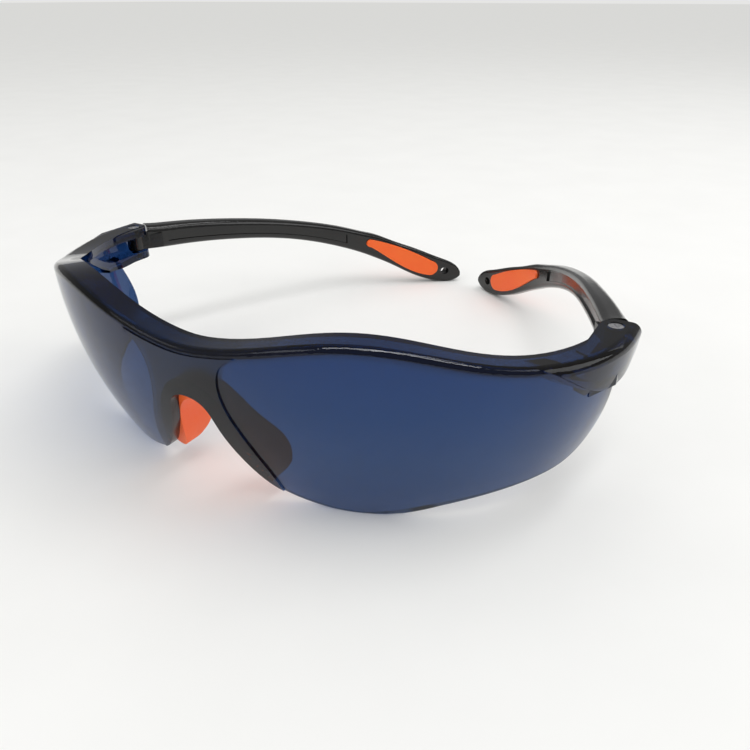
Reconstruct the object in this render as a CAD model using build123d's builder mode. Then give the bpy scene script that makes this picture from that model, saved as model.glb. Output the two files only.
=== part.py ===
"""Wrap-around safety spectacles: one-piece tinted shield, nose piece and two folding temples.

Frame: +X towards the wearer's left, +Y back towards the ears, +Z up, z = 0 on the table that the
spectacles stand on.  Both temples are part-folded at rest.  Millimetres.
"""
import os
from math import cos, exp, hypot, pi, radians, sin, sqrt

from build123d import *

os.makedirs("parts", exist_ok=True)

# ---------------------------------------------------------------- driving dimensions
half_width = 77.1          # centre line to the widest point of the wrap
bridge_y = -78.8           # front of the bridge
wrap_depth = 55.2          # from the bridge back to where the wrap runs straight
wrap_across_power = 2.43   # the plan curve is a superellipse: power across
wrap_back_power = 1.75     # and power front to back
shield_rear_y = bridge_y + 60.4
barrel_radius = 88.0       # vertical curvature of the shield
barrel_height = 42.5       # height where the barrel is widest
wall = 2.0                 # shield thickness
nose_gap = 0.02            # between the shield and the back of the nose piece

brow_low = 37.4            # top line at the hinges
brow_rise = 7.7            # how much higher it stands over each eye
brow_place = 39.0          # distance along the wrap to the top of each brow
brow_spread = 26.6
bridge_blend = 4.0         # rounds the dip of the top line over the nose
ledge_depth = 6.4          # the ledge turned back along the top line
ledge_thickness = 2.2
top_corner = 1.5           # radius where the face turns into the ledge
shield_low = -3.0          # sections start below the trimmed lower edge

pod_proud = 0.7            # the hinge pods stand this far outside the lens
saddle_proud = 0.4         # the bridge and the nose rims stand proud of the lenses
pod_plate = 2.2            # thickness of the pod's lower plate

hinge_x = 72.6
hinge_y = bridge_y + 57.0
pin_radius = 0.9
head_radius = 1.7
head_height = 1.0
knuckle_radius = 2.45
knuckle_low = 30.5
knuckle_high = 34.8
axial_gap = 0.2            # above and below the knuckle
running_gap = 0.05         # round the pin
plate_reach = 3.4          # from the pin to the edges of the hinge plates
nut_radius = 1.7
nut_height = 1.4

temple_start = 3.7         # from the pin to the temple's front face
grip_proud = 0.7
groove_count = 5           # finger grooves on a grip's outer face
groove_start = 91.0
groove_pitch = 3.4
groove_width = 0.8
groove_depth = 0.35
groove_slant = 20          # degrees from upright
channel_depth = 0.5        # channel along an arm's inner face
channel_share = 0.42       # its part of the arm's height
cord_hole_radius = 1.4
cord_hole_back = 113.6
cord_hole_height = 4.6

fold_left = 32.0           # fold at rest, 0 is fully open
fold_right = 30.0


# ---------------------------------------------------------------- the wrap in plan
def wrap_samples(count=240):
    """Half of the plan curve as (distance, x, y), from the bridge back to the rear edge."""
    samples = [(0.0, 0.0, bridge_y)]
    for i in range(1, count + 1):
        angle = pi / 2 * i / count
        x = half_width * sin(angle) ** (2 / wrap_across_power)
        y = bridge_y + wrap_depth * (1 - max(cos(angle), 0.0) ** (2 / wrap_back_power))
        last = samples[-1]
        samples.append((last[0] + hypot(x - last[1], y - last[2]), x, y))
    last = samples[-1]
    samples.append((last[0] + shield_rear_y - last[2], last[1], shield_rear_y))
    return samples


WRAP = wrap_samples()
wrap_length = WRAP[-1][0]


def wrap_point(distance):
    """Point of the plan curve at a signed distance from the bridge."""
    reach = min(abs(distance), wrap_length)
    for before, after in zip(WRAP, WRAP[1:]):
        if after[0] >= reach:
            part = (reach - before[0]) / (after[0] - before[0])
            x = before[1] + part * (after[1] - before[1])
            y = before[2] + part * (after[2] - before[2])
            return (x if distance >= 0 else -x), y
    return (WRAP[-1][1] if distance >= 0 else -WRAP[-1][1]), WRAP[-1][2]


def wrap_plane(distance):
    """Upright plane square to the wrap, with local x pointing outwards and local y up."""
    step = 1.5
    ahead = wrap_point(min(distance + step, wrap_length))
    behind = wrap_point(max(distance - step, -wrap_length))
    run = hypot(ahead[0] - behind[0], ahead[1] - behind[1])
    along = Vector((ahead[0] - behind[0]) / run, (ahead[1] - behind[1]) / run, 0)
    outward = Vector(along.Y, -along.X, 0)
    x, y = wrap_point(distance)
    return Plane(origin=(x, y, 0), x_dir=outward, z_dir=outward.cross(Vector(0, 0, 1)))


def top_height(distance):
    """Height of the top line: a smooth rise over each eye."""
    from_brow = sqrt(distance ** 2 + bridge_blend ** 2) - brow_place
    return brow_low + brow_rise * exp(-((from_brow / brow_spread) ** 2))


def sag(height):
    """How far the barrel has curved inwards at a height."""
    return (height - barrel_height) ** 2 / (2 * barrel_radius)


def shield_section(distance, proud):
    """Section of the shield: the curved wall with its ledge turned back along the top."""
    top = top_height(distance)
    corner = top_corner + proud
    shoulder = top - corner
    waist = (shield_low + shoulder) / 2
    under = top - ledge_thickness
    inner_waist = (shield_low + under) / 2
    turn = corner * (1 - sqrt(0.5))
    with BuildSketch(wrap_plane(distance)) as section:
        with BuildLine():
            ThreePointArc(
                (proud - sag(shield_low), shield_low),
                (proud - sag(waist), waist),
                (proud - sag(shoulder), shoulder),
            )
            ThreePointArc(
                (proud - sag(shoulder), shoulder),
                (proud - sag(shoulder) - turn, top - turn),
                (proud - sag(shoulder) - corner, top),
            )
            Polyline(
                (proud - sag(shoulder) - corner, top),
                (-ledge_depth, top),
                (-ledge_depth, under),
                (-wall - sag(under), under),
            )
            ThreePointArc(
                (-wall - sag(under), under),
                (-wall - sag(inner_waist), inner_waist),
                (-wall - sag(shield_low), shield_low),
            )
            Line((-wall - sag(shield_low), shield_low), (proud - sag(shield_low), shield_low))
        make_face()
    return section.sketch


def ring_section(distance, outer, inner, low, high):
    """Plain section between two offsets from the barrel and two heights."""
    middle = (low + high) / 2
    with BuildSketch(wrap_plane(distance)) as section:
        with BuildLine():
            ThreePointArc((outer - sag(low), low), (outer - sag(middle), middle), (outer - sag(high), high))
            Line((outer - sag(high), high), (inner - sag(high), high))
            ThreePointArc((inner - sag(high), high), (inner - sag(middle), middle), (inner - sag(low), low))
            Line((inner - sag(low), low), (outer - sag(low), low))
        make_face()
    return section.sketch


def stations(first, last, count):
    return [first + (last - first) * i / (count - 1) for i in range(count)]


# ---------------------------------------------------------------- outlines that trim the shield
reach_out = 90             # clear of the shield on every side
FRONT = Plane(origin=(0, reach_out, 0), x_dir=(1, 0, 0), z_dir=(0, -1, 0))
SIDE = Plane(origin=(-reach_out, bridge_y, 0), x_dir=(0, 1, 0), z_dir=(1, 0, 0))   # local x runs back


def eye_outline():
    """Front view of the shield below its top line: nose cut, lower edges, open at the sides."""
    half = [(0, 26.8), (4.2, 25.3), (6.4, 20.5), (10.8, 11.2), (15.6, 5.2), (22, 1.95), (31, 0.1)]
    outer = [(40, 0.6), (50, 2.6), (58, 4.6)]
    lower = half + outer
    mirrored = [(-x, z) for x, z in reversed(lower[1:])]
    with BuildSketch(FRONT) as outline:
        with BuildLine():
            Spline(*(mirrored + lower))
            Polyline((58, 4.6), (90, -6), (90, 60), (-90, 60), (-90, -6), (-58, 4.6))
        make_face()
    return outline.sketch


def side_outline():
    """Side view of the shield's rear: lower edge, rear lobe, and the step up to the hinge pod."""
    rear = shield_rear_y - bridge_y
    with BuildSketch(SIDE) as outline:
        with BuildLine():
            Polyline((22, 3.6), (10, -6), (-20, -6), (-20, 60), (rear + 5, 60), (rear + 5, 29))
            Line((rear + 5, 29), (49.4, 29))
            Spline((49.4, 29), (52.0, 22), (52.6, 16.5), (50.6, 11.0), (46.5, 8.0), (40, 6.9), (32, 6.2), (22, 3.6))
        make_face()
    return outline.sketch


def saddle_outline():
    """Front view of the raised saddle: the bridge and the rims beside the nose cut."""
    rim = [(17.6, 1.0), (16.9, 8.0), (14.7, 14.6), (12.2, 20.4), (10.2, 25.6), (9.4, 30.8), (10.6, 35.8), (14.8, 39.5)]
    brow = [(22.7, 42.4)]
    mirrored = [(-x, z) for x, z in rim + brow]
    with BuildSketch(FRONT) as outline:
        with BuildLine():
            Spline(*(rim + brow))
            Polyline((22.7, 42.4), (22.7, 60), (-22.7, 60), (-22.7, 42.4))
            Spline(*reversed(mirrored))
            Polyline((-17.6, 1.0), (-17.6, -8), (17.6, -8), (17.6, 1.0))
        make_face()
    return outline.sketch


def pod_outline():
    """Side view of a hinge pod: from the brow down a slope to the hinge, cut back at its rear."""
    with BuildSketch(SIDE) as outline:
        with BuildLine():
            Spline((21, 41.5), (34, 33.6), (43, 28.6), (50, 27.6), (57, 28.2))
            Line((57, 28.2), (60.4, 31.2))
            Polyline((60.4, 31.2), (60.4, 60), (21, 60), (21, 41.5))
        make_face()
    return outline.sketch


# ---------------------------------------------------------------- hinge
plate_top = brow_low - 0.1
plate_under = knuckle_high + axial_gap
floor_top = knuckle_low - axial_gap
floor_under = floor_top - pod_plate
recess_depth = head_height + 0.1
head_under = plate_top - recess_depth


def hinge_plate(side, low, high):
    """Plate that holds the pin, rounded about it at the rear inner corner."""
    x, y = side * hinge_x, hinge_y
    inner = x - side * plate_reach
    outer = x + side * 3.5
    with BuildSketch(Plane.XY.offset(low)) as outline:
        with BuildLine():
            Polyline((inner, y), (inner, y - 10), (inner - side * 1.0, y - 15), (x, y - 17))
            Polyline((x, y - 17), (outer, y - 9), (outer, y + plate_reach), (x, y + plate_reach))
            RadiusArc((x, y + plate_reach), (inner, y), -side * plate_reach)
        make_face()
    return extrude(outline.sketch, amount=high - low, dir=(0, 0, 1), mode=Mode.PRIVATE)


def corner_waste(side):
    """What lies outside the hinge radius behind the pin, where the temple's front face swings."""
    x, y = side * hinge_x, hinge_y
    with BuildSketch(Plane.XY.offset(floor_under - 2)) as outline:
        with Locations((x - side * 4, y + 4)):
            Rectangle(8, 8)
        with Locations((x, y)):
            Circle(plate_reach, mode=Mode.SUBTRACT)
    return extrude(outline.sketch, amount=16, dir=(0, 0, 1), mode=Mode.PRIVATE)


def neck_room(side):
    """Room beside the pin for the temple's neck when the arm is straight out."""
    x, y = side * hinge_x, hinge_y
    width = knuckle_radius + 0.3 + 6
    with BuildSketch(Plane.XY.offset(floor_top)) as outline:
        with Locations((x + side * (knuckle_radius + 0.3 - width / 2), y + 3)):
            Rectangle(width, 6)
    return extrude(outline.sketch, amount=plate_under - floor_top, dir=(0, 0, 1), mode=Mode.PRIVATE)


def upright(side, radius, low, high):
    """Round bar on a hinge axis."""
    with BuildSketch(Plane.XY.offset(low)) as outline:
        with Locations((side * hinge_x, hinge_y)):
            Circle(radius)
    return extrude(outline.sketch, amount=high - low, dir=(0, 0, 1), mode=Mode.PRIVATE)


# ---------------------------------------------------------------- front shield
shield_stations = stations(-wrap_length, wrap_length, 41)

with BuildPart() as saddle:
    for station in stations(-34, 34, 15):
        add(ring_section(station, saddle_proud, -wall / 2, -6, top_height(station) - top_corner))
    loft()
    extrude(saddle_outline(), amount=2 * reach_out, dir=FRONT.z_dir, mode=Mode.INTERSECT)

with BuildPart() as pod_prism:
    extrude(pod_outline(), amount=2 * reach_out, dir=SIDE.z_dir)
    with Locations((0, 0, 30)):
        Box(110, 300, 80, mode=Mode.SUBTRACT)

with BuildPart() as pod_walls:
    for station in shield_stations:
        add(shield_section(station, pod_proud))
    loft()
    add(pod_prism.part, mode=Mode.INTERSECT)

with BuildPart() as pod_floor:
    for station in stations(wrap_length * 0.45, wrap_length, 15):
        add(ring_section(station, 0.3, -5.6, 22, top_height(station) - top_corner))
    loft()
    with BuildSketch(SIDE):
        with BuildLine():
            Spline((21, 41.5), (34, 33.6), (43, 28.6), (50, 27.6), (57, 28.2))
            Polyline((57, 28.2), (60.4, 28.6), (60.4, 30.2), (57, 30.2))
            Spline((57, 30.2), (50, 29.8), (43.6, 30.8), (34.6, 35.7), (21.5, 43.6))
            Line((21.5, 43.6), (21, 41.5))
        make_face()
    extrude(amount=2 * reach_out, mode=Mode.INTERSECT)

with BuildPart() as front_shield:
    for station in shield_stations:
        add(shield_section(station, 0))
    loft()
    add(saddle.part)
    extrude(eye_outline(), amount=2 * reach_out, dir=FRONT.z_dir, mode=Mode.INTERSECT)
    extrude(side_outline(), amount=2 * reach_out, dir=SIDE.z_dir, mode=Mode.INTERSECT)
    add(pod_prism.part, mode=Mode.SUBTRACT)
    add(pod_walls.part)
    add(pod_floor.part)
    add(mirror(pod_floor.part, about=Plane.YZ))
    for side in (1, -1):
        add(hinge_plate(side, plate_under, plate_top))
        add(hinge_plate(side, floor_under, floor_top))
        add(corner_waste(side), mode=Mode.SUBTRACT)
        add(neck_room(side), mode=Mode.SUBTRACT)
        add(upright(side, knuckle_radius + 0.3, floor_top, plate_under), mode=Mode.SUBTRACT)
        add(upright(side, pin_radius + 0.1, floor_under - 2, plate_top + 1), mode=Mode.SUBTRACT)
        add(upright(side, head_radius + 0.1, head_under, plate_top + 1), mode=Mode.SUBTRACT)
        add(upright(side, nut_radius, floor_under - 2, floor_under + nut_height), mode=Mode.SUBTRACT)
front_shield.part.label = "front_shield"
export_step(front_shield.part, "parts/front_shield.step")


# ---------------------------------------------------------------- hinge screws and nuts
def screw_solid(side):
    """Shank through both plates and the knuckle, with a cross-recessed head."""
    x, y = side * hinge_x, hinge_y
    head_top = head_under + head_height
    add(upright(side, pin_radius, floor_under, head_under))
    add(upright(side, head_radius, head_under, head_top))
    for angle in (35, 125):
        with Locations(Location((x, y, head_top), (0, 0, angle))):
            Box(2.2, 0.5, 0.9, mode=Mode.SUBTRACT)


def nut_solid(side):
    """Round nut pressed into the lower plate."""
    add(upright(side, nut_radius, floor_under, floor_under + nut_height))
    add(upright(side, pin_radius, floor_under, floor_under + nut_height), mode=Mode.SUBTRACT)


with BuildPart() as left_hinge_screw:
    screw_solid(1)
left_hinge_screw.part.label = "left_hinge_screw"
export_step(left_hinge_screw.part, "parts/left_hinge_screw.step")

with BuildPart() as right_hinge_screw:
    screw_solid(-1)
right_hinge_screw.part.label = "right_hinge_screw"
export_step(right_hinge_screw.part, "parts/right_hinge_screw.step")

with BuildPart() as left_hinge_nut:
    nut_solid(1)
left_hinge_nut.part.label = "left_hinge_nut"
export_step(left_hinge_nut.part, "parts/left_hinge_nut.step")

with BuildPart() as right_hinge_nut:
    nut_solid(-1)
right_hinge_nut.part.label = "right_hinge_nut"
export_step(right_hinge_nut.part, "parts/right_hinge_nut.step")


# ---------------------------------------------------------------- nose piece
with BuildPart() as ahead_of_wall:
    for station in stations(-34, 34, 15):
        add(ring_section(station, 25, -wall - nose_gap, -6, 40))
    loft()

with BuildPart() as nose_piece:
    with BuildSketch(FRONT) as nose_front:
        with BuildLine():
            Spline(
                (-15.3, 8.0), (-12.6, 16), (-9.4, 23.6), (-5.4, 28.6), (0, 30.4),
                (5.4, 28.6), (9.4, 23.6), (12.6, 16), (15.3, 8.0),
            )
            ThreePointArc((15.3, 8.0), (13.4, 5.4), (10.8, 7.0))
            Spline(
                (10.8, 7.0), (8.9, 12.6), (6.5, 19.6), (3.8, 23.2), (0, 24.4),
                (-3.8, 23.2), (-6.5, 19.6), (-8.9, 12.6), (-10.8, 7.0),
            )
            ThreePointArc((-10.8, 7.0), (-13.4, 5.4), (-15.3, 8.0))
        make_face()
    extrude(nose_front.sketch, amount=2 * reach_out, dir=FRONT.z_dir)
    with BuildSketch(SIDE) as nose_side:
        with BuildLine():
            Spline((7.4, 34), (8.8, 27), (12.8, 19), (16.4, 13.4), (17.0, 9.8), (14.6, 6.6), (10.5, 5.0))
            Polyline((10.5, 5.0), (-2, 5.0), (-2, 34), (7.4, 34))
        make_face()
    extrude(nose_side.sketch, amount=2 * reach_out, dir=SIDE.z_dir, mode=Mode.INTERSECT)
    add(ahead_of_wall.part, mode=Mode.SUBTRACT)
nose_piece.part.label = "nose_piece"
export_step(nose_piece.part, "parts/nose_piece.step")


# ---------------------------------------------------------------- temples
def arm_side_plane(side, fold):
    """Upright plane along a folded arm: local x runs back from the pin, local y is up."""
    turn = radians(fold)
    back = Vector(-side * sin(turn), cos(turn), 0)
    start = Vector(side * hinge_x, hinge_y, 0)
    outward = back.cross(Vector(0, 0, 1))
    return Plane(origin=start - outward * 40, x_dir=back, z_dir=outward)


def arm_plan_plane(side, fold, height=0.0):
    """Level plane of a folded arm: local x runs back from the pin, local y away to one side."""
    turn = radians(fold)
    back = Vector(-side * sin(turn), cos(turn), 0)
    return Plane(origin=(side * hinge_x, hinge_y, height), x_dir=back, z_dir=(0, 0, 1))


TOP_LINE = [(3.7, 37.4), (30, 34.3), (60, 28.3), (84, 21.4), (102, 14.2), (112, 9.7), (116, 7.9), (118.2, 6.2)]
TOP_LINE += [(119.2, 4.6)]
LOW_LINE = [(3.7, 30.0), (30, 27.7), (56, 22.8), (78, 15.6), (92, 9.2), (103, 3.1), (110, 0.5), (114, 0.1)]
LOW_LINE += [(117.4, 0.5), (119.2, 1.9)]
OUTER_LINE = [(3.7, 4.5), (20, 6.6), (40, 9.3), (58, 11.1), (76, 11.2), (90, 9.0), (103, 3.6), (119.2, -4.8)]
INNER_LINE = [(3.7, -1.7), (20, 1.2), (40, 4.4), (58, 6.4), (76, 6.4), (89, 4.4), (102, -0.4), (119.2, -8.0)]
channel_stations = [10, 24, 38, 52, 66, 77]
arm_stations = [3.7, 12, 24, 38, 52, 66, 77, 86, 94, 101, 107, 112, 116, 118.2, 119.2]


def line_at(points, u):
    """Smooth curve through (u, value) points, read at u."""
    slopes = []
    for i in range(len(points)):
        before = points[max(i - 1, 0)]
        after = points[min(i + 1, len(points) - 1)]
        slopes.append((after[1] - before[1]) / (after[0] - before[0]))
    for i in range(len(points) - 1):
        (u0, v0), (u1, v1) = points[i], points[i + 1]
        if u <= u1 or i == len(points) - 2:
            span = u1 - u0
            t = (u - u0) / span
            keep = (1 + 2 * t) * (1 - t) ** 2 * v0 + t * t * (3 - 2 * t) * v1
            lean = t * (1 - t) ** 2 * slopes[i] + t * t * (t - 1) * slopes[i + 1]
            return keep + span * lean
    return points[-1][1]


def arm_loft(side, fold, grow):
    """The arm as a loft of rounded sections; grow thickens it on both faces."""
    turn = radians(fold)
    back = Vector(-side * sin(turn), cos(turn), 0)
    outward = Vector(side * cos(turn), sin(turn), 0)
    start = Vector(side * hinge_x, hinge_y, 0)
    for u in arm_stations:
        top, low = line_at(TOP_LINE, u), line_at(LOW_LINE, u)
        outer, inner = line_at(OUTER_LINE, u) + grow, line_at(INNER_LINE, u) - grow
        middle = start + back * u + outward * ((outer + inner) / 2) + Vector(0, 0, (top + low) / 2)
        round_off = min(0.32 * (outer - inner), 0.45 * (top - low))
        with BuildSketch(Plane(origin=middle, x_dir=outward, z_dir=outward.cross(Vector(0, 0, 1)))) as section:
            RectangleRounded(outer - inner, top - low, round_off)
        add(section.sketch)
    loft()


def arm_channel(side, fold):
    """Long shallow channel moulded along the middle of an arm's inner face."""
    turn = radians(fold)
    back = Vector(-side * sin(turn), cos(turn), 0)
    outward = Vector(side * cos(turn), sin(turn), 0)
    start = Vector(side * hinge_x, hinge_y, 0)
    with BuildPart(mode=Mode.PRIVATE) as channel:
        for u in channel_stations:
            top, low = line_at(TOP_LINE, u), line_at(LOW_LINE, u)
            floor = line_at(INNER_LINE, u) + channel_depth
            middle = start + back * u + outward * (floor - 1.5) + Vector(0, 0, (top + low) / 2)
            with BuildSketch(Plane(origin=middle, x_dir=outward, z_dir=outward.cross(Vector(0, 0, 1)))) as section:
                Rectangle(3, channel_share * (top - low))
            add(section.sketch)
        loft()
    return channel.part


def grip_face(side, fold):
    """Teardrop of the grip: a narrow front end, and a wide end towards the tip."""
    with BuildSketch(arm_side_plane(side, fold)) as outline:
        with BuildLine():
            Spline((86.2, 18.6), (94, 16.1), (102, 12.6), (108.6, 8.9))
            ThreePointArc((108.6, 8.9), (110.7, 5.8), (108.0, 3.2))
            Spline((108.0, 3.2), (102.5, 4.8), (95, 9.3), (86.0, 15.8))
            ThreePointArc((86.0, 15.8), (84.6, 17.4), (86.2, 18.6))
        make_face()
    return outline.sketch


def arm_bar(side, fold, back, height, radius, length=80):
    """Round bar across an arm, for the cord hole."""
    plane = arm_side_plane(side, fold)
    with BuildSketch(plane) as outline:
        with Locations((back, height)):
            Circle(radius)
    return extrude(outline.sketch, amount=length, dir=plane.z_dir, mode=Mode.PRIVATE)


def temple_solid(side, fold):
    """One temple: arm, hinge knuckle, window for the grip and hole for a cord."""
    across = arm_side_plane(side, fold).z_dir
    arm_loft(side, fold, 0)
    add(arm_channel(side, fold), mode=Mode.SUBTRACT)
    extrude(grip_face(side, fold), amount=80, dir=across, mode=Mode.SUBTRACT)
    add(arm_bar(side, fold, cord_hole_back, cord_hole_height, cord_hole_radius), mode=Mode.SUBTRACT)
    with BuildSketch(arm_plan_plane(side, fold, knuckle_low)) as knuckle:
        Circle(knuckle_radius)
        with Locations((4, -side * 0.4)):
            Rectangle(8, 2 * knuckle_radius - 0.8)
    extrude(knuckle.sketch, amount=knuckle_high - knuckle_low, dir=(0, 0, 1))
    add(upright(side, pin_radius + running_gap, knuckle_low - 1, knuckle_high + 1), mode=Mode.SUBTRACT)


def groove_bar(side, fold, u):
    """Slanted bar that reaches outwards from the middle of an arm, to cut one finger groove."""
    plane = arm_side_plane(side, fold)
    middle = (line_at(OUTER_LINE, u) + line_at(INNER_LINE, u)) / 2
    height = (line_at(TOP_LINE, u) + line_at(LOW_LINE, u)) / 2
    with BuildSketch(plane.offset(40 + side * middle)) as outline:
        with Locations(Location((u, height, 0), (0, 0, groove_slant))):
            Rectangle(groove_width, 20)
    return extrude(outline.sketch, amount=12, dir=plane.z_dir * side, mode=Mode.PRIVATE)


def grip_solid(side, fold):
    """Teardrop that fills the window, proud of both faces, with finger grooves on its outer face."""
    across = arm_side_plane(side, fold).z_dir
    arm_loft(side, fold, grip_proud)
    for i in range(groove_count):
        add(groove_bar(side, fold, groove_start + i * groove_pitch), mode=Mode.SUBTRACT)
    with BuildPart(mode=Mode.PRIVATE) as bed:
        arm_loft(side, fold, grip_proud - groove_depth)
    add(bed.part)
    extrude(grip_face(side, fold), amount=80, dir=across, mode=Mode.INTERSECT)


with BuildPart() as left_temple:
    temple_solid(1, fold_left)
left_temple.part.label = "left_temple"
export_step(left_temple.part, "parts/left_temple.step")

with BuildPart() as right_temple:
    temple_solid(-1, fold_right)
right_temple.part.label = "right_temple"
export_step(right_temple.part, "parts/right_temple.step")

with BuildPart() as left_grip:
    grip_solid(1, fold_left)
left_grip.part.label = "left_grip"
export_step(left_grip.part, "parts/left_grip.step")

with BuildPart() as right_grip:
    grip_solid(-1, fold_right)
right_grip.part.label = "right_grip"
export_step(right_grip.part, "parts/right_grip.step")
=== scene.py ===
import math

import bpy
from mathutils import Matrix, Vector


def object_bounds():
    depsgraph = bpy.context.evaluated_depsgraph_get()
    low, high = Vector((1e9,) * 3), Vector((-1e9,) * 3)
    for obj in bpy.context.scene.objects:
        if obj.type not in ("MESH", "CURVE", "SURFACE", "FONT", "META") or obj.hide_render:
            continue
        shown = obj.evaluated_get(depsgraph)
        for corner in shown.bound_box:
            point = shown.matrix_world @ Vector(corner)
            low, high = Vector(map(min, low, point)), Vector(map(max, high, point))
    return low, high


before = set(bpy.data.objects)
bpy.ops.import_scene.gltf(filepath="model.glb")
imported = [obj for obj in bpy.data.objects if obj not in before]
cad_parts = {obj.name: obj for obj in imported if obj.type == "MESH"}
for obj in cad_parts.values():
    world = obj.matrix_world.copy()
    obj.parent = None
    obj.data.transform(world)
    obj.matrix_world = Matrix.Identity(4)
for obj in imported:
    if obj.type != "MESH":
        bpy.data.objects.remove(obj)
cad_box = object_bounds()

MM = 0.001

# ---------------------------------------------------------------- camera
EYE = Vector((96.9, -166.7, 99.5)) * MM
VIEW_AZIMUTH = math.radians(40.3)
VIEW_ELEVATION = math.radians(22.2)
AIM_RIGHT = 0.1584           # the aim is off the view's axis by these shares of the distance
AIM_DOWN = 0.1145
SENSOR_WIDTH = 36.0          # mm
FOCAL_LENGTH = 33.706        # mm
NEAREST = 0.005              # m
FARTHEST = 50.0              # m


def aim_camera():
    """A camera at the viewing angle, turned so that the object is centred in a square frame."""
    level = Vector((-math.sin(VIEW_AZIMUTH), math.cos(VIEW_AZIMUTH), 0.0))
    forward = level * math.cos(VIEW_ELEVATION) - Vector((0, 0, math.sin(VIEW_ELEVATION)))
    right = forward.cross(Vector((0, 0, 1))).normalized()
    up = right.cross(forward).normalized()
    look = (forward + right * AIM_RIGHT - up * AIM_DOWN).normalized()
    data = bpy.data.cameras.new("camera")
    data.sensor_width = SENSOR_WIDTH
    data.lens = FOCAL_LENGTH
    data.clip_start = NEAREST
    data.clip_end = FARTHEST
    camera = bpy.data.objects.new("camera", data)
    camera.location = EYE
    camera.rotation_euler = look.to_track_quat("-Z", "Y").to_euler()
    bpy.context.scene.collection.objects.link(camera)
    bpy.context.scene.camera = camera


aim_camera()


# ---------------------------------------------------------------- materials
class Nodes:
    """The nodes of one new material: adds them, sets them and links them."""

    def __init__(self, name):
        self.material = bpy.data.materials.new(name)
        self.material.use_nodes = True
        self.tree = self.material.node_tree
        self.tree.nodes.clear()
        self.output = self.add("ShaderNodeOutputMaterial")

    def add(self, kind):
        return self.tree.nodes.new(kind)

    def link(self, source, target):
        self.tree.links.new(source, target)

    def noise(self, scale, detail=3.0, rough=0.5, stretch=(1, 1, 1)):
        """Noise over the object's own coordinates, with scale features to the metre."""
        coords = self.add("ShaderNodeTexCoord")
        mapping = self.add("ShaderNodeMapping")
        mapping.inputs["Scale"].default_value = stretch
        self.link(coords.outputs["Object"], mapping.inputs["Vector"])
        node = self.add("ShaderNodeTexNoise")
        node.inputs["Scale"].default_value = scale
        node.inputs["Detail"].default_value = detail
        node.inputs["Roughness"].default_value = rough
        self.link(mapping.outputs["Vector"], node.inputs["Vector"])
        return node.outputs["Fac"]

    def ramp(self, fac, stops):
        """Colours along a value from 0 to 1, from (place, colour) stops."""
        node = self.add("ShaderNodeValToRGB")
        while len(node.color_ramp.elements) > 1:
            node.color_ramp.elements.remove(node.color_ramp.elements[0])
        for n, (place, colour) in enumerate(stops):
            spot = node.color_ramp.elements[0] if n == 0 else node.color_ramp.elements.new(place)
            spot.position = place
            spot.color = (*colour, 1.0)
        self.link(fac, node.inputs["Fac"])
        return node.outputs["Color"]

    def profile(self, place, points, reach, size):
        """A line through (place, value) points in millimetres, where no value is over size."""
        stops = [(at * MM / reach, (value * MM / size,) * 3) for at, value in points]
        return self.math("MULTIPLY", self.ramp(self.math("DIVIDE", place, reach), stops), size)

    def span(self, value, low, high, to_low=0.0, to_high=1.0):
        """The value, mapped from low and high to to_low and to_high, and held beyond them."""
        node = self.add("ShaderNodeMapRange")
        node.inputs["From Min"].default_value = low
        node.inputs["From Max"].default_value = high
        node.inputs["To Min"].default_value = to_low
        node.inputs["To Max"].default_value = to_high
        self.link(value, node.inputs["Value"])
        return node.outputs["Result"]

    def math(self, operation, a, b):
        node = self.add("ShaderNodeMath")
        node.operation = operation
        for socket, value in zip(node.inputs, (a, b)):
            if isinstance(value, (int, float)):
                socket.default_value = value
            else:
                self.link(value, socket)
        return node.outputs["Value"]

    def mix(self, fac, a, b, blend="MIX"):
        node = self.add("ShaderNodeMix")
        node.data_type = "RGBA"
        node.blend_type = blend
        for name, value in (("Factor", fac), ("A", a), ("B", b)):
            socket = [s for s in node.inputs if s.name == name and s.enabled][0]
            if isinstance(value, (int, float)):
                socket.default_value = value
            elif isinstance(value, tuple):
                socket.default_value = (*value, 1.0)
            else:
                self.link(value, socket)
        return [s for s in node.outputs if s.enabled][0]

    def bump(self, height, distance, strength=1.0):
        """A normal from a height of 0 to 1 that stands distance proud, in metres."""
        node = self.add("ShaderNodeBump")
        node.inputs["Strength"].default_value = strength
        node.inputs["Distance"].default_value = distance
        self.link(height, node.inputs["Height"])
        return node.outputs["Normal"]


def moulded_plastic(name, dark, light, rough, flow):
    """Glossy moulded plastic with faint flow marks, a rippled skin and uneven gloss."""
    n = Nodes(name)
    shader = n.add("ShaderNodeBsdfPrincipled")
    flow_marks = n.noise(60.0, 4.0, 0.6, flow)
    n.link(n.ramp(flow_marks, [(0.3, dark), (0.7, light)]), shader.inputs["Base Color"])
    handled = n.noise(180.0, 5.0, 0.65)
    n.link(n.span(handled, 0.3, 0.75, rough[0], rough[1]), shader.inputs["Roughness"])
    fine = n.noise(900.0, 2.0, 0.5)
    skin = n.math("ADD", fine, n.math("MULTIPLY", flow_marks, 0.8))
    n.link(n.bump(skin, 0.02 * MM), shader.inputs["Normal"])
    shader.inputs["IOR"].default_value = 1.52
    n.link(shader.outputs["BSDF"], n.output.inputs["Surface"])
    return n.material


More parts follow.
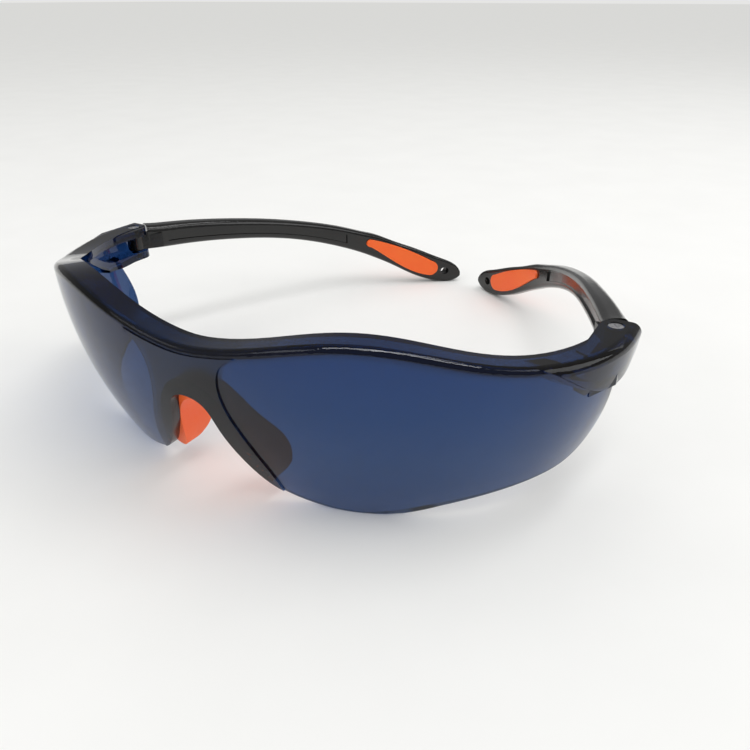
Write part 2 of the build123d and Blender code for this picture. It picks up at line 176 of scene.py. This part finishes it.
def soft_rubber(name):
    """Matt orange elastomer: a fine spark-eroded skin, slightly uneven dye and soft sheen."""
    n = Nodes(name)
    shader = n.add("ShaderNodeBsdfPrincipled")
    dye = n.noise(45.0, 4.0, 0.6)
    colour = n.ramp(dye, [(0.3, (0.97, 0.115, 0.008)), (0.7, (1.0, 0.150, 0.013))])
    n.link(colour, shader.inputs["Base Color"])
    skin = n.noise(2600.0, 3.0, 0.7)
    n.link(n.span(skin, 0.3, 0.7, 0.38, 0.56), shader.inputs["Roughness"])
    n.link(n.bump(skin, 0.03 * MM, 0.6), shader.inputs["Normal"])
    shader.inputs["Subsurface Weight"].default_value = 0.15
    shader.inputs["Subsurface Radius"].default_value = (0.0016, 0.0006, 0.0003)
    shader.inputs["Subsurface Scale"].default_value = 1.0
    shader.inputs["Sheen Weight"].default_value = 0.03
    n.link(shader.outputs["BSDF"], n.output.inputs["Surface"])
    return n.material


def steel(name):
    """Bright zinc-plated steel, dulled here and there by grime."""
    n = Nodes(name)
    shader = n.add("ShaderNodeBsdfPrincipled")
    grime = n.noise(500.0, 5.0, 0.7)
    plating = n.ramp(grime, [(0.3, (0.55, 0.55, 0.56)), (0.65, (0.86, 0.86, 0.87))])
    n.link(plating, shader.inputs["Base Color"])
    n.link(n.span(grime, 0.3, 0.7, 0.42, 0.22), shader.inputs["Roughness"])
    n.link(n.bump(n.noise(1500.0, 2.0), 0.02 * MM), shader.inputs["Normal"])
    shader.inputs["Metallic"].default_value = 1.0
    n.link(shader.outputs["BSDF"], n.output.inputs["Surface"])
    return n.material


# what the whole wall lets through: the clear lens between two limits, then the dense zones
LENS_TINT = ((0.064, 0.130, 0.330), (0.075, 0.144, 0.352))
FRAME_TINT = (0.007, 0.017, 0.045)
LEDGE_DENSITY = 0.52
SADDLE_DENSITY = 0.82
POD_DENSITY = 0.72
SADDLE_ROUGHNESS = 0.20
# painted reflection and shade: the lens is lighter low down, where it would mirror the pale
# floor, and gets darker and bluer with height: share of SHIELD_HEIGHT, then colour
LENS_PAINTED_REFLECTION = [(0.10, (0.96, 0.94, 0.86)), (0.34, (0.76, 0.79, 0.75)),
              (0.60, (0.35, 0.56, 0.65)), (0.82, (0.22, 0.43, 0.58))]
SHIELD_HEIGHT = 50 * MM
DEPTH_COLOUR = (0.20, 0.42, 0.60, 1.0)
DEPTH_DENSITY = 380.0        # per metre

SADDLE_PROUD = 0.4 * MM
BRIDGE_Y = cad_box[0][1] + SADDLE_PROUD
# the top line of the shield: its height at the hinges, and how it swells over each eye
TOP_AT_HINGES = 37.4 * MM
BROW_RISE = 7.7 * MM
BROW_PLACE = 38.0 * MM
BROW_SPREAD = 26.0 * MM
LEDGE_FACE = (1.9 * MM, 3.0 * MM)     # below the top line, where the ledge ends
# half the saddle's width at each height, and the height of a pod's lower edge, mm
SADDLE_LINE = ((1, 17.6), (8, 16.9), (14.5, 14.7), (20.5, 12.2), (25.5, 10.2),
               (31, 9.4), (36, 10.6), (39.5, 14.8), (43, 22.7), (45, 25))
SADDLE_REACH = 25 * MM
POD_LINE = ((20.46, 44.1), (34.1, 33.615), (42.78, 28.62), (50.22, 27.45), (58.9, 27.9))
POD_BACK = 62 * MM
POD_TOP = 45 * MM
POD_FADE = 7 * MM            # over which a pod gets denser upwards


def shield_zones(n):
    """Masks of the ledge, the nose saddle and the hinge pods, and a point's height."""
    coords = n.add("ShaderNodeTexCoord")
    split = n.add("ShaderNodeSeparateXYZ")
    n.link(coords.outputs["Object"], split.inputs["Vector"])
    across = n.math("ABSOLUTE", split.outputs["X"], 0.0)
    back = n.math("SUBTRACT", split.outputs["Y"], BRIDGE_Y)
    height = split.outputs["Z"]

    # the top line rises over each eye: the ledge is what lies just under it
    squares = n.math("ADD", n.math("POWER", across, 2.0), n.math("POWER", back, 2.0))
    around = n.math("SQRT", squares, 0.0)
    from_brow = n.math("DIVIDE", n.math("SUBTRACT", around, BROW_PLACE), BROW_SPREAD)
    swell = n.math("EXPONENT", n.math("MULTIPLY", n.math("POWER", from_brow, 2.0), -1.0), 0.0)
    top = n.math("ADD", n.math("MULTIPLY", swell, BROW_RISE), TOP_AT_HINGES)
    ledge = n.span(n.math("SUBTRACT", top, height), *LEDGE_FACE, 1.0, 0.0)

    # the saddle widens downwards beside the nose, and upwards into the brow
    edge = n.profile(height, SADDLE_LINE, SHIELD_HEIGHT, SADDLE_REACH)
    saddle = n.span(n.math("SUBTRACT", edge, across), -0.15 * MM, 0.15 * MM)

    # each pod starts at the brow and drops back along a slope
    over_edge = n.math("SUBTRACT", height, n.profile(back, POD_LINE, POD_BACK, POD_TOP))
    above = n.span(over_edge, 0.0, POD_FADE, 0.05, 0.95)
    inside = n.span(over_edge, -0.1 * MM, 0.15 * MM)
    pod = n.math("MULTIPLY", above, inside)
    return ledge, saddle, pod, height


def tinted_polycarbonate(name):
    """Clear smoke-blue polycarbonate, denser where the moulding is thick or textured, with
    painted reflection and shade graded up the lens.
    """
    n = Nodes(name)
    ledge, saddle, pod, height = shield_zones(n)
    dense = n.math("MULTIPLY", ledge, LEDGE_DENSITY)
    dense = n.math("MAXIMUM", dense, n.math("MULTIPLY", saddle, SADDLE_DENSITY))
    dense = n.math("MAXIMUM", dense, n.math("MULTIPLY", pod, POD_DENSITY))
    shader = n.add("ShaderNodeBsdfPrincipled")
    dye = n.noise(14.0, 2.0, 0.4)
    lens = n.ramp(dye, [(0.3, LENS_TINT[0]), (0.7, LENS_TINT[1])])
    # painted reflection and shade: the lens colour is lightened low down and darkened higher up
    painted_reflection = n.ramp(n.math("DIVIDE", height, SHIELD_HEIGHT), LENS_PAINTED_REFLECTION)
    lens_and_painted_reflection = n.mix(1.0, lens, painted_reflection, "MULTIPLY")
    tint_and_painted_reflection = n.mix(dense, lens_and_painted_reflection, FRAME_TINT)
    n.link(tint_and_painted_reflection, shader.inputs["Base Color"])
    haze = n.noise(120.0, 5.0, 0.7)
    gloss = n.span(haze, 0.35, 0.8, 0.015, 0.05)
    textured = n.math("MULTIPLY", saddle, SADDLE_ROUGHNESS)
    n.link(n.math("ADD", gloss, textured), shader.inputs["Roughness"])
    grain = n.math("MULTIPLY", n.noise(2400.0, 2.0, 0.6), saddle)
    ripple = n.math("ADD", n.noise(55.0, 2.0), n.math("MULTIPLY", grain, 0.6))
    n.link(n.bump(ripple, 0.01 * MM), shader.inputs["Normal"])
    shader.inputs["Transmission Weight"].default_value = 1.0
    shader.inputs["IOR"].default_value = 1.38

    # light on its way to a shadow goes straight through, tinted once by each skin
    light = n.add("ShaderNodeLightPath")
    clear = n.add("ShaderNodeBsdfTransparent")
    skin = n.add("ShaderNodeGamma")
    skin.inputs["Gamma"].default_value = 0.5
    n.link(tint_and_painted_reflection, skin.inputs["Color"])
    n.link(skin.outputs["Color"], clear.inputs["Color"])
    mix = n.add("ShaderNodeMixShader")
    n.link(light.outputs["Is Shadow Ray"], mix.inputs["Fac"])
    n.link(shader.outputs["BSDF"], mix.inputs[1])
    n.link(clear.outputs["BSDF"], mix.inputs[2])
    n.link(mix.outputs["Shader"], n.output.inputs["Surface"])

    depth = n.add("ShaderNodeVolumeAbsorption")
    depth.inputs["Color"].default_value = DEPTH_COLOUR
    depth.inputs["Density"].default_value = DEPTH_DENSITY
    n.link(depth.outputs["Volume"], n.output.inputs["Volume"])
    return n.material


TINT = tinted_polycarbonate("tinted_polycarbonate")
BLACK = moulded_plastic("black_plastic", dark=(0.004, 0.004, 0.004), light=(0.009, 0.009, 0.008),
                        rough=(0.10, 0.20), flow=(1, 0.3, 2))
ORANGE = soft_rubber("orange_elastomer")
STEEL = steel("plated_steel")


NODE_MATERIALS = {"front_shield": TINT, "nose_piece": ORANGE}
for side in ("left", "right"):
    NODE_MATERIALS[f"{side}_temple"] = BLACK
    NODE_MATERIALS[f"{side}_grip"] = ORANGE
    NODE_MATERIALS[f"{side}_hinge_screw"] = STEEL
    NODE_MATERIALS[f"{side}_hinge_nut"] = STEEL

for node_name, node_material in NODE_MATERIALS.items():
    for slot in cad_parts[node_name].material_slots:
        slot.material = node_material


# ---------------------------------------------------------------- floor and light
FLOOR_HALF = 12.0            # m
ROOM_PALE = (0.79, 0.79, 0.78, 1.0)
ROOM_DIM = (0.30, 0.30, 0.302, 1.0)


def build_stage():
    """A plain pale floor that the glasses stand on, without gloss."""
    mesh = bpy.data.meshes.new("floor")
    corners = [(-1, -1, 0), (1, -1, 0), (1, 1, 0), (-1, 1, 0)]
    mesh.from_pydata([Vector(corner) * FLOOR_HALF for corner in corners], [], [(0, 1, 2, 3)])
    floor = bpy.data.objects.new("floor", mesh)
    bpy.context.scene.collection.objects.link(floor)
    n = Nodes("pale_floor")
    shader = n.add("ShaderNodeBsdfPrincipled")
    paper = n.ramp(n.noise(30.0), [(0.3, (0.865, 0.865, 0.855)), (0.7, (0.885, 0.885, 0.875))])
    n.link(paper, shader.inputs["Base Color"])
    shader.inputs["Roughness"].default_value = 0.9
    shader.inputs["Specular IOR Level"].default_value = 0.0
    n.link(shader.outputs["BSDF"], n.output.inputs["Surface"])
    mesh.materials.append(n.material)


def add_light(name, place, target, size, power, only_gloss=False):
    """A rectangular softbox, in metres and watts; only_gloss leaves it out of matt surfaces."""
    data = bpy.data.lights.new(name, "AREA")
    data.shape = "RECTANGLE"
    data.size, data.size_y = size
    data.energy = power
    lamp = bpy.data.objects.new(name, data)
    lamp.location = place
    aim = Vector(target) - Vector(place)
    lamp.rotation_euler = aim.to_track_quat("-Z", "Y").to_euler()
    lamp.visible_diffuse = not only_gloss
    bpy.context.scene.collection.objects.link(lamp)


def build_room():
    """A pale room that is dimmer where glossy plastic mirrors it."""
    world = bpy.data.worlds.new("room")
    world.use_nodes = True
    tree = world.node_tree
    tree.nodes.clear()
    output = tree.nodes.new("ShaderNodeOutputWorld")
    path = tree.nodes.new("ShaderNodeLightPath")
    pale = tree.nodes.new("ShaderNodeBackground")
    pale.inputs["Color"].default_value = ROOM_PALE
    dim = tree.nodes.new("ShaderNodeBackground")
    dim.inputs["Color"].default_value = ROOM_DIM
    mix = tree.nodes.new("ShaderNodeMixShader")
    tree.links.new(path.outputs["Is Glossy Ray"], mix.inputs["Fac"])
    tree.links.new(pale.outputs["Background"], mix.inputs[1])
    tree.links.new(dim.outputs["Background"], mix.inputs[2])
    tree.links.new(mix.outputs["Shader"], output.inputs["Surface"])
    bpy.context.scene.world = world


build_stage()
build_room()
add_light("overhead_softbox", (0.20, -0.02, 0.85), (0.06, 0, 0), (1.1, 0.14), 2.3)
add_light("gloss_strip", (0.20, -0.16, 0.84), (0.06, 0, 0), (1.2, 0.24), 6.5, only_gloss=True)
add_light("side_softbox", (0.75, 0.35, 0.50), (0, 0, 0.02), (0.35, 0.5), 1.0)
add_light("front_fill", (-0.45, -0.75, 0.60), (0, 0, 0.02), (0.5, 0.3), 0.8)

bpy.context.scene.view_settings.view_transform = "Standard"
